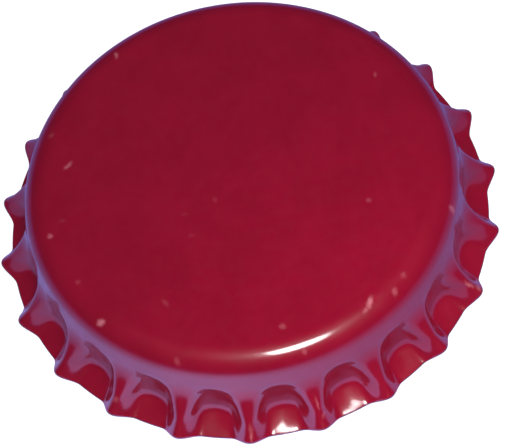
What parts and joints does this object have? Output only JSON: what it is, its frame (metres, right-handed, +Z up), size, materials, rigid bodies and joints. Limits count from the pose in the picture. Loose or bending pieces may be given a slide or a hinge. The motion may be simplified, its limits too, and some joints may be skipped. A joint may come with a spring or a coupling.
{
  "type": "crown bottle cap",
  "caption": "Round pressed-steel crown cap with a flared, fluted skirt and a moulded sealing liner inside.",
  "frame": {"origin": "on the cap's axis, at the level of the skirt's lowest edge, which the cap stands on", "axes": "+Z up along the cap's axis, from the open end to the panel; +X through the crest of a tooth"},
  "size_m": [0.032, 0.0318, 0.0061],
  "materials": {
    "red_enamel": "gloss enamel on tinplate",
    "liner_compound": "smooth moulded compound"
  },
  "bodies": {
    "root": {"crown_shell": "red_enamel", "liner": "liner_compound"}
  },
  "joints": []
}
